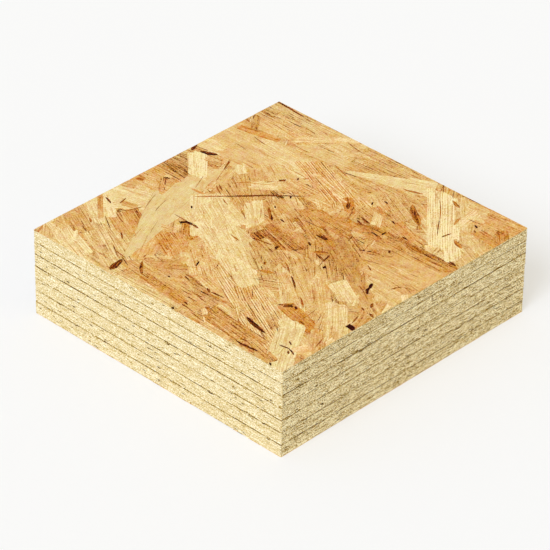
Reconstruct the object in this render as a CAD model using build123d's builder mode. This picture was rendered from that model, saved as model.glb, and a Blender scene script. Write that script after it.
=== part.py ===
"""A stack of square oriented strand board (OSB) panels, cut to one size and laid by hand.

Each panel is one pressed board with sawn edges, so each panel is one solid. The panels lie
face to face. Their eased arrises leave the fine groove that shows between one panel and the
next. The stack leans by about a millimetre from its foot to its top, and each panel lies a
fraction of a millimetre off that line.

Frame: millimetres, +Z up. The origin is the middle of the stack's foot.
"""

from build123d import *

import os
from math import radians, sin

# Driving dimensions of one panel
panel_length = 300.0  # along X
panel_width = 300.0  # along Y
panel_thickness = 12.4  # a 12 mm unsanded board, which runs a little over its nominal size
corner_radius = 0.8  # wear on the four upright corners
arris = 0.35  # chamfer left on the sawn edges of both faces

# Driving dimensions of the stack
panel_count = 7
lean_x = 0.8  # how far the topmost panel lies off the lowest, along X
lean_y = -0.8  # the same along Y
stack_play = 0.1  # the furthest that a panel lies off the line of the stack
play_step_x = 100.0  # degrees of the play's swing along X from one panel to the next
play_step_y = 160.0  # degrees of the play's swing along Y from one panel to the next


def panel_seat(level):
    """The plane that a panel lies on, with its middle where the hand left it."""
    climb = level / max(panel_count - 1, 1) - 0.5  # from the lowest panel to the topmost
    across = lean_x * climb + stack_play * sin(radians(play_step_x * level))
    along = lean_y * climb + stack_play * sin(radians(play_step_y * level))
    return Plane(origin=(across, along, level * panel_thickness))


os.makedirs("parts", exist_ok=True)
for level in range(panel_count):
    with BuildPart() as panel:
        with BuildSketch(panel_seat(level)):
            RectangleRounded(panel_length, panel_width, corner_radius)
        extrude(amount=panel_thickness)
        underside_and_face = panel.faces().filter_by(Axis.Z)
        chamfer(underside_and_face.edges(), arris)

    panel.part.label = f"osb_panel_{level + 1}"
    export_step(panel.part, f"parts/{panel.part.label}.step")
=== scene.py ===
# %% [markdown]
# # A stack of seven oriented strand board panels
#
# Oriented strand board is made of thin, flat strands of pine. They are dried, coated with resin, scattered
# in a deep mat and pressed hot into one hard board, which is then sawn to size. Two surfaces show:
# the pressed face, a patchwork of overlapping strands, and the sawn edge, which cuts through the layers.
# The lesson builds those two surfaces as real geometry and gives each its own material.

# %% Load the frame
import math
import random
from collections import namedtuple

import bpy
import numpy as np
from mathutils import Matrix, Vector
from mathutils.geometry import delaunay_2d_cdt


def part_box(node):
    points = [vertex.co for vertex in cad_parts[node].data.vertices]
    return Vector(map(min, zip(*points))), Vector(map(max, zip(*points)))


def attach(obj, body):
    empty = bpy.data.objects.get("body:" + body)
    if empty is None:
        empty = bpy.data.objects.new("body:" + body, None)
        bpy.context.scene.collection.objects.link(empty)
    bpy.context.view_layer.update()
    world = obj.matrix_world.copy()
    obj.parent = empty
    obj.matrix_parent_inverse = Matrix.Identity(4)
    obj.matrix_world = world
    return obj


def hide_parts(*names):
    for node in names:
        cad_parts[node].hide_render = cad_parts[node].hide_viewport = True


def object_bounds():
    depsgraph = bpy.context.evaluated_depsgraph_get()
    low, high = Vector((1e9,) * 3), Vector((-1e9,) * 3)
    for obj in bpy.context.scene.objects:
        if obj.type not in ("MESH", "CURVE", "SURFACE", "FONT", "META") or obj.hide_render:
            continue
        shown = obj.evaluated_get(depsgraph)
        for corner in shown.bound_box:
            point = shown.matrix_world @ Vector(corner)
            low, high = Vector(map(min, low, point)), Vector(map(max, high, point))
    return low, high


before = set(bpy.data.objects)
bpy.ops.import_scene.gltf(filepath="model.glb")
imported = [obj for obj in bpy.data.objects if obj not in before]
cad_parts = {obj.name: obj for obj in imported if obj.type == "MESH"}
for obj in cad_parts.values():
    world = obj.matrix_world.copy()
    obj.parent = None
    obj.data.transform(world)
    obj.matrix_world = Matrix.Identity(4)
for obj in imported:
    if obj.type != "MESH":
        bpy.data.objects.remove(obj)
cad_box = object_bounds()
MM = 0.001
panels = sorted(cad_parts)
print("panels in the stack:", len(panels))

# %% [markdown]
# ## The camera
#
# The photograph was taken from above one corner with a long lens, so the upright edges stay nearly parallel.
# Its direction, distance and lens were worked out from the seven corners of the stack that show.

# %% The camera
PICTURE = 550  # pixels on each side of the photograph
VIEW_TURN = 224.70  # degrees from +X round to the camera
VIEW_RISE = 33.78  # degrees above the floor
VIEW_DISTANCE = 3.084  # m from the point that the camera aims at
FOCAL_PIXELS = 3565  # focal length of the lens, in pixels of the photograph
AIM_RIGHT = -4.26 * MM  # the picture's middle lies this far from the middle of the stack
AIM_UP = -3.78 * MM
SENSOR = 36.0  # mm

def toward(turn, rise):
    """The direction that lies some degrees round from +X and some above the floor."""
    turn, rise = math.radians(turn), math.radians(rise)
    return Vector((math.cos(turn) * math.cos(rise), math.sin(turn) * math.cos(rise), math.sin(rise)))

to_camera = toward(VIEW_TURN, VIEW_RISE)
camera_turn = to_camera.to_track_quat("Z", "Y")
aim = (cad_box[0] + cad_box[1]) / 2 + camera_turn @ Vector((AIM_RIGHT, AIM_UP, 0))
bpy.ops.object.camera_add(location=aim + to_camera * VIEW_DISTANCE, rotation=camera_turn.to_euler())
camera = bpy.context.object
camera.data.sensor_width = SENSOR
camera.data.lens = FOCAL_PIXELS / PICTURE * SENSOR
bpy.context.scene.camera = camera
bpy.context.view_layer.update()

def pixel_of(point):
    """Where a point of the frame falls in the photograph, in pixels from its top left corner."""
    seen = camera.matrix_world.inverted() @ Vector(point)
    return tuple(round(PICTURE / 2 + sign * FOCAL_PIXELS * part / -seen.z, 1)
                 for sign, part in ((1, seen.x), (-1, seen.y)))

low, high = cad_box
print("front corner, top and foot:", pixel_of((low.x, low.y, high.z)), pixel_of(low))
print("left and right corners:", pixel_of((low.x, high.y, high.z)), pixel_of((high.x, low.y, high.z)))

# %% [markdown]
# ## Floor and light
#
# The stack stands in a white studio. A wide soft lamp from the left lights the top and the left edges,
# and the pale floor fills in the right edges, which stay about a third darker. The floor is the background
# too: seen by the camera it glows a little, so it stays white right up to the stack and keeps the shadow.

# %% Floor and light
FLOOR_SIZE = 6.0  # m
FLOOR_WHITE = 0.945  # linear, the photograph's background
FLOOR_GLOW = 0.48  # share of the floor's look that the shadow doesn't reach
SKY_LEVEL = 0.62  # 1 would show a white floor as white
LAMP_LEVEL = 0.57  # the same, if it stood overhead
LAMP_TURN = 192.0  # degrees from +X
LAMP_RISE = 41.5  # degrees above the floor
LAMP_SPREAD = 32.0  # degrees, which sets how soft the shadow is
WARM_SIDE = (0.25, -0.95, 0.15)  # the way to the studio's warmer wall, on the right
WARM_FULL = 0.8  # cosine of the angle from it within which the light is fully warm
WARM_WHITE = (1.10, 0.91, 0.44, 1)  # linear
LAMP_WHITE = (1.0, 1.09, 1.28)  # a cool lamp, which with the warm wall leaves the floor white

def add_node(tree, kind, settings=None, inputs=None):
    """Adds a shader node with its settings, and gives each named input a value or a link."""
    made = tree.nodes.new("ShaderNode" + kind)
    for name, value in (settings or {}).items():
        setattr(made, name, value)
    for name, value in (inputs or {}).items():
        if isinstance(value, bpy.types.NodeSocket):
            tree.links.new(value, made.inputs[name])
        else:
            made.inputs[name].default_value = value
    return made

bpy.context.scene.view_settings.view_transform = "Standard"
bpy.ops.mesh.primitive_plane_add(size=FLOOR_SIZE, location=(0, 0, low.z))
floor = bpy.context.object
floor.name = "floor"
paint = bpy.data.materials.new("matt_white_studio_floor")
paint.use_nodes = True
tree = paint.node_tree
tree.nodes.clear()
path = add_node(tree, "LightPath")
seen = add_node(tree, "Math", {"operation": "MAXIMUM"},
                {0: path.outputs["Is Camera Ray"], 1: path.outputs["Is Glossy Ray"]})
seen = add_node(tree, "Math", {"operation": "MAXIMUM"},
                {0: seen.outputs[0], 1: path.outputs["Is Transmission Ray"]})
share = add_node(tree, "Math", {"operation": "MULTIPLY"}, {0: seen.outputs[0], 1: FLOOR_GLOW})
white = (FLOOR_WHITE, FLOOR_WHITE, FLOOR_WHITE, 1)
matt = add_node(tree, "BsdfDiffuse", inputs={"Color": white})
glow = add_node(tree, "Emission", inputs={"Color": white, "Strength": 1.0})
both = add_node(tree, "MixShader", inputs={0: share.outputs[0], 1: matt.outputs[0], 2: glow.outputs[0]})
add_node(tree, "OutputMaterial", inputs={"Surface": both.outputs[0]})
floor.data.materials.append(paint)

world = bpy.data.worlds.new("white_studio")
world.use_nodes = True
bpy.context.scene.world = world
tree = world.node_tree
tree.nodes.clear()
path = add_node(tree, "LightPath")
direction = add_node(tree, "TexCoord")
facing = add_node(tree, "VectorMath", {"operation": "DOT_PRODUCT"},
                  {0: direction.outputs["Generated"], 1: WARM_SIDE})
warmth = add_node(tree, "MapRange", {"interpolation_type": "SMOOTHSTEP"},
                  {"Value": facing.outputs["Value"], "From Min": 0.0, "From Max": WARM_FULL})
tint = add_node(tree, "Mix", {"data_type": "RGBA"},
                {"Factor": warmth.outputs[0], "A": (1, 1, 1, 1), "B": WARM_WHITE})
lit = add_node(tree, "Background", inputs={"Color": tint.outputs["Result"], "Strength": SKY_LEVEL})
shown = add_node(tree, "Background", inputs={"Color": white, "Strength": 1.0})
sky = add_node(tree, "MixShader", inputs={0: path.outputs["Is Camera Ray"], 1: lit.outputs[0],
                                          2: shown.outputs[0]})
add_node(tree, "OutputWorld", inputs={"Surface": sky.outputs[0]})

to_lamp = toward(LAMP_TURN, LAMP_RISE)
bpy.ops.object.light_add(type="SUN", location=to_lamp, rotation=to_lamp.to_track_quat("Z", "Y").to_euler())
lamp = bpy.context.object.data
lamp.energy = LAMP_LEVEL * math.pi
lamp.color = LAMP_WHITE
lamp.angle = math.radians(LAMP_SPREAD)
print("light on the top face:", round(SKY_LEVEL + LAMP_LEVEL * to_lamp.z, 2))

# %% [markdown]
# ## The tones of pressed pine
#
# Sapwood strands come out of the press cream, heartwood honey to orange, and bark nearly black.
# One scale from 0 to 1 runs through them all, so that a strand has a single tone number. Grain, resin and
# scorching then move that number up and down along the strand.

# %% Tones
TONES = {  # place on the scale, and the colour in daylight
    "bark": (0.00, "330900"),
    "scorched": (0.14, "8A4A12"),
    "brown": (0.30, "BF8340"),
    "orange": (0.42, "D29A52"),
    "amber": (0.52, "DAA862"),
    "honey": (0.62, "E1B471"),
    "straw": (0.74, "E8C07E"),
    "pale": (0.86, "EECE90"),
    "cream": (0.95, "F5DA9E"),
    "sapwood": (1.00, "FFE8B2"),
}

def linear(text):
    """A hex colour, as it is seen on a screen, as the linear colour that Blender computes with."""
    parts = [int(text[i:i + 2], 16) / 255 for i in (0, 2, 4)]
    return (*[p / 12.92 if p <= 0.04045 else ((p + 0.055) / 1.055) ** 2.4 for p in parts], 1.0)

def fill_ramp(ramp, stops):
    """Gives a colour ramp one stop for each place and colour."""
    while len(ramp.elements) < len(stops):
        ramp.elements.new(1.0)
    for element, (place, colour) in zip(ramp.elements, stops):
        element.position = place
        element.color = linear(colour)

print("tones, dark to light:", ", ".join(TONES))

# %% [markdown]
# ## Hot-pressed pine strands
#
# The press leaves the face flat, hard and faintly waxy. What the eye sees is each strand's own colour, fine
# fibre lines along it, wider bands where growth rings were cut, and dark flecks of resin and bark dust.
# A strand that was cut across its growth rings shows them as narrow, even lines instead.
# Each strand carries its tone, the strength of its lines and its tint in a mesh attribute, and its own
# direction in a UV map in metres, so the grain turns with the strand. The tint runs from greenish sapwood,
# below zero, to reddish heartwood. Blotches of resin and specks of wood dust cross from strand to strand,
# and move both the tone and the tint.

# %% Material of the pressed face
FACE_PATTERNS = {  # length along the grain and width across it in mm, detail
    "fibre": (22.0, 0.8, 2.0),  # real fibres are finer, but those wouldn't show in the picture
    "line": (45.0, 1.5, 0.0),
    "ring": (80.0, 6.0, 2.0),
    "fleck": (3.2, 1.2, 1.0),
}
FULL_LINES = 0.55  # strength at which the fibre lines are at their fullest
RING_LINES = (0.6, 0.9)  # strengths between which narrow growth rings come up
RING_GAP = 2.1  # mm between those
WAVE_TURN = 20  # radians that the wave texture turns in one unit
MOTTLE_SIZE = 7.0  # mm, blotches of resin that cross from strand to strand
DUST_SIZE = 1.15  # mm, specks of wood dust pressed into the face
TINT_HUE = -0.006  # turn of the hue for a tint of 1
TINT_FULLNESS = 0.042  # gain in fullness of colour for the same

def add_patterns(tree, patterns, place):
    """Noise stretched along the grain: one socket for each named pattern."""
    made = {}
    for name, (along, across, detail) in patterns.items():
        stretch = add_node(tree, "Mapping", inputs={"Vector": place,
                                                    "Scale": (1 / (along * MM), 1 / (across * MM), 1 / MM)})
        noise = add_node(tree, "TexNoise", inputs={"Vector": stretch.outputs[0], "Scale": 1.0,
                                                   "Detail": detail, "Roughness": 0.55})
        made[name] = noise.outputs["Fac"]
    return made

def shift(tree, tone, pattern, swing):
    """Moves a tone up and down by a pattern that runs from 0 to 1 about its middle."""
    centred = add_node(tree, "Math", {"operation": "SUBTRACT"}, {0: pattern, 1: 0.5})
    moved = add_node(tree, "Math", {"operation": "MULTIPLY_ADD"}, {0: centred.outputs[0], 1: swing, 2: tone})
    return moved.outputs[0]

pressed = bpy.data.materials.new("hot_pressed_pine_strands")
pressed.use_nodes = True
tree = pressed.node_tree
strand = add_node(tree, "Attribute", {"attribute_name": "strand"})
strand = add_node(tree, "SeparateXYZ", inputs={0: strand.outputs["Vector"]})
grain = add_node(tree, "UVMap", {"uv_map": "grain"})
pattern = add_patterns(tree, FACE_PATTERNS, grain.outputs["UV"])
place = add_node(tree, "TexCoord")
mottle = add_node(tree, "TexNoise", inputs={"Vector": place.outputs["Object"],
                                            "Scale": 1 / (MOTTLE_SIZE * MM), "Detail": 3.0})
dust = add_node(tree, "TexNoise", inputs={"Vector": place.outputs["Object"],
                                          "Scale": 1 / (DUST_SIZE * MM), "Detail": 1.0})
shown = add_node(tree, "Math", {"operation": "MINIMUM"}, {0: strand.outputs["Y"], 1: FULL_LINES})
swing = add_node(tree, "Math", {"operation": "MULTIPLY_ADD"}, {0: shown.outputs[0], 1: 1.6, 2: 0.42})
dusty = add_node(tree, "Math", {"operation": "MULTIPLY_ADD"}, {0: shown.outputs[0], 1: 1.0, 2: 0.48})
tone = shift(tree, strand.outputs["X"], pattern["fibre"], swing.outputs[0])
tone = shift(tree, tone, pattern["ring"], 0.25)
tone = shift(tree, tone, mottle.outputs["Fac"], 0.36)
tone = shift(tree, tone, dust.outputs["Fac"], dusty.outputs[0])
line = add_node(tree, "MapRange", inputs={"Value": pattern["line"], "From Min": 0.55, "From Max": 0.63,
                                          "To Min": 0.0, "To Max": -0.42})
line = add_node(tree, "Math", {"operation": "MULTIPLY"}, {0: line.outputs[0], 1: shown.outputs[0]})
tone = add_node(tree, "Math", {"operation": "ADD"}, {0: tone, 1: line.outputs[0]}).outputs[0]
rings = add_node(tree, "TexWave", {"bands_direction": "Y"},
                 {"Vector": grain.outputs["UV"], "Scale": math.tau / WAVE_TURN / (RING_GAP * MM),
                  "Distortion": 1.6, "Detail": 2.0, "Detail Scale": 0.6})
lined = add_node(tree, "MapRange", inputs={"Value": strand.outputs["Y"], "From Min": RING_LINES[0],
                                           "From Max": RING_LINES[1], "To Min": 0.0, "To Max": -0.44})
rings = add_node(tree, "MapRange", inputs={"Value": rings.outputs["Fac"], "From Min": 0.62, "From Max": 0.95,
                                           "To Min": -0.28, "To Max": 0.72})
tone = add_node(tree, "Math", {"operation": "MULTIPLY_ADD"},
                {0: rings.outputs[0], 1: lined.outputs[0], 2: tone}).outputs[0]
fleck = add_node(tree, "MapRange", inputs={"Value": pattern["fleck"], "From Min": 0.64, "From Max": 0.74,
                                           "To Min": 0.0, "To Max": -0.36})
tone = add_node(tree, "Math", {"operation": "ADD", "use_clamp": True}, {0: tone, 1: fleck.outputs[0]})
ramp = add_node(tree, "ValToRGB", inputs={0: tone.outputs[0]})
fill_ramp(ramp.color_ramp, list(TONES.values()))
tint = strand.outputs["Z"]
fullness = add_node(tree, "Math", {"operation": "MULTIPLY_ADD"}, {0: tint, 1: TINT_FULLNESS, 2: 1.0})
fullness = fullness.outputs[0]
for noise, redder, fuller in ((mottle, 9.0, 0.26), (dust, 12.0, 0.34)):
    parts = add_node(tree, "SeparateColor", inputs={0: noise.outputs["Color"]})
    tint = shift(tree, tint, parts.outputs["Green"], redder)
    fullness = shift(tree, fullness, parts.outputs["Blue"], fuller)
hue = add_node(tree, "Math", {"operation": "MULTIPLY_ADD"}, {0: tint, 1: TINT_HUE, 2: 0.5})
tinted = add_node(tree, "HueSaturation", inputs={"Hue": hue.outputs[0], "Saturation": fullness,
                                                 "Color": ramp.outputs["Color"]})
relief = add_node(tree, "Bump", inputs={"Strength": 0.35, "Distance": 0.06 * MM, "Height": pattern["fibre"]})
sheen = add_node(tree, "MapRange", inputs={"Value": pattern["ring"], "To Min": 0.48, "To Max": 0.66})
shader = tree.nodes["Principled BSDF"]
tree.links.new(tinted.outputs["Color"], shader.inputs["Base Color"])
tree.links.new(sheen.outputs[0], shader.inputs["Roughness"])
tree.links.new(relief.outputs[0], shader.inputs["Normal"])
shader.inputs["Specular IOR Level"].default_value = 0.04
print("face material nodes:", len(tree.nodes))

# %% [markdown]
# ## Sawn strand edge
#
# The saw cuts clean through the layers. The strands show as thin cream streaks, stronger on the two sides
# where most of them are cut along the grain; there the stronger streaks are also painted light and shade of
# the torn relief, for how the lamp falls on them. Dark slits open where two strands left a gap, and their
# dark tone is painted shade.
# It is the palest part of the board, because no resin film or press heat has coloured it.

# %% Material of the sawn edge
EDGE_TONES = ((0.00, "4E2E00"), (0.18, "8E6600"), (0.42, "BEA04C"), (0.60, "D6C08A"), (0.78, "E9D7AB"),
              (1.00, "FFFADF"))
EDGE_PATTERNS = {  # length along a layer and height in mm, detail
    "streak": (9.0, 0.5, 1.0),  # cut fibres are finer, but those wouldn't show in the picture
    "pore": (1.4, 0.55, 1.0),
    "fleck": (4.0, 1.5, 0.0),
}
EDGE_SWINGS = {"streak": 1.35, "pore": 2.1}  # how far each moves the tone

sawn = bpy.data.materials.new("sawn_pine_strand_edge")
sawn.use_nodes = True
tree = sawn.node_tree
strand = add_node(tree, "Attribute", {"attribute_name": "strand"})
strand = add_node(tree, "SeparateXYZ", inputs={0: strand.outputs["Vector"]})
grain = add_node(tree, "UVMap", {"uv_map": "grain"})
pattern = add_patterns(tree, EDGE_PATTERNS, grain.outputs["UV"])
tone = strand.outputs["X"]
for name, most in EDGE_SWINGS.items():
    swing = add_node(tree, "Math", {"operation": "MULTIPLY"}, {0: strand.outputs["Y"], 1: most})
    tone = shift(tree, tone, pattern[name], swing.outputs[0])
fleck = add_node(tree, "MapRange", inputs={"Value": pattern["fleck"], "From Min": 0.70, "From Max": 0.80,
                                           "To Min": 0.0, "To Max": -0.45})
tone = add_node(tree, "Math", {"operation": "ADD", "use_clamp": True}, {0: tone, 1: fleck.outputs[0]})
ramp = add_node(tree, "ValToRGB", inputs={0: tone.outputs[0]})
fill_ramp(ramp.color_ramp, EDGE_TONES)
shader = tree.nodes["Principled BSDF"]
tree.links.new(ramp.outputs["Color"], shader.inputs["Base Color"])
shader.inputs["Roughness"].default_value = 0.8
shader.inputs["Specular IOR Level"].default_value = 0.0
print("edge material nodes:", len(tree.nodes))

# %% [markdown]
# ## One strand
#
# A strand is a flat shaving, 60 to 150 mm long and up to 30 mm wide. Its long sides follow the grain and may
# taper, and its ends are broken off on the slant, so they are ragged. Bark, cracks and splinters are slim
# spindles, pointed at both ends. An outline of a few dozen points is enough, because hundreds overlap.

# %% Outlines of strands and spindles
Strand = namedtuple("Strand", "outline start along tone streak tint sink")
RAGGED_END = 1.6  # mm that an end's points stand out or in
SIDE_WAVER = 0.05  # share of the width that a side wavers
SLANT = 0.45  # share of the width that an end is slanted at each side
SIDE_POINTS = (0.05, 0.35, 0.65, 0.95)  # shares of a strand's length where its sides have points
SPINDLE_POINTS = (0.0, 0.12, 0.3, 0.5, 0.7, 0.88, 1.0)  # the same for a spindle

def axes_of(start, end):
    """Where a strand starts, its length, and the directions along and across it."""
    start, end = np.array(start, float), np.array(end, float)
    length = np.hypot(*(end - start))
    along = (end - start) / length
    return start, length, along, np.array((-along[1], along[0]))

def lay_strand(rng, start, end, width, tone, streak, tint, sink):
    """A shaving from start to end, with ragged ends, in mm on the face. A pair of widths makes it taper."""
    start, length, along, across = axes_of(start, end)
    widths = np.ones(2) * width
    slants = [rng.uniform(-SLANT, SLANT) * min(wide, 0.4 * length) for wide in widths]
    points = []
    for tip, side in ((1, -1), (0, 1)):
        for share in SIDE_POINTS if tip else SIDE_POINTS[::-1]:
            reach = slants[0] * side * (1 - share) + (length + slants[1] * side) * share
            wide = widths[0] * (1 - share) + widths[1] * share
            points.append((reach, side * wide / 2 * (1 + rng.uniform(-SIDE_WAVER, SIDE_WAVER) * 2)))
        teeth = max(5, int(widths[tip] / 2))  # about one every 2 mm
        for tooth in range(1, teeth):
            share = side * (1 - 2 * tooth / teeth)
            ragged = rng.uniform(-1, 1) * min(RAGGED_END, widths[tip] * 0.3, length * 0.12)
            points.append((tip * length + slants[tip] * share + ragged, share * widths[tip] / 2))
    outline = [start + along * u + across * v for u, v in points]
    return Strand(outline, start, along, tone, streak, tint, sink)

def lay_spindle(rng, start, end, width, tone, streak, tint, sink):
    """A splinter, crack or flake of bark, pointed at both ends."""
    start, length, along, across = axes_of(start, end)
    points, bend = [], rng.uniform(-0.04, 0.04) * length
    for side, shares in ((-0.5, SPINDLE_POINTS[:-1]), (0.5, SPINDLE_POINTS[:0:-1])):
        for share in shares:
            swell = math.sin(math.pi * share) ** 0.45 * rng.uniform(0.7, 1.1)
            points.append((share * length, side * width * swell + bend * math.sin(math.pi * share)))
    outline = [start + along * u + across * v for u, v in points]
    return Strand(outline, start, along, tone, streak, tint, sink)

def top_layer(layers, point):
    """The uppermost strand that covers a point of the face."""
    for layer in reversed(layers):
        x, y = np.array(layer.outline).T - np.reshape(point, (2, 1))
        nx, ny = np.roll(x, -1), np.roll(y, -1)
        straddles = (y > 0) != (ny > 0)
        crossed = straddles & ((x * ny - nx * y) * (ny - y) > 0)
        if crossed.sum() % 2:
            return layer
    return layers[0]

sample = lay_strand(random.Random(1), (0, 0), (80, 0), width=20, tone=0.5, streak=0.5, tint=0.0, sink=0.1)
print("points of a strand:", len(sample.outline))
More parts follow.
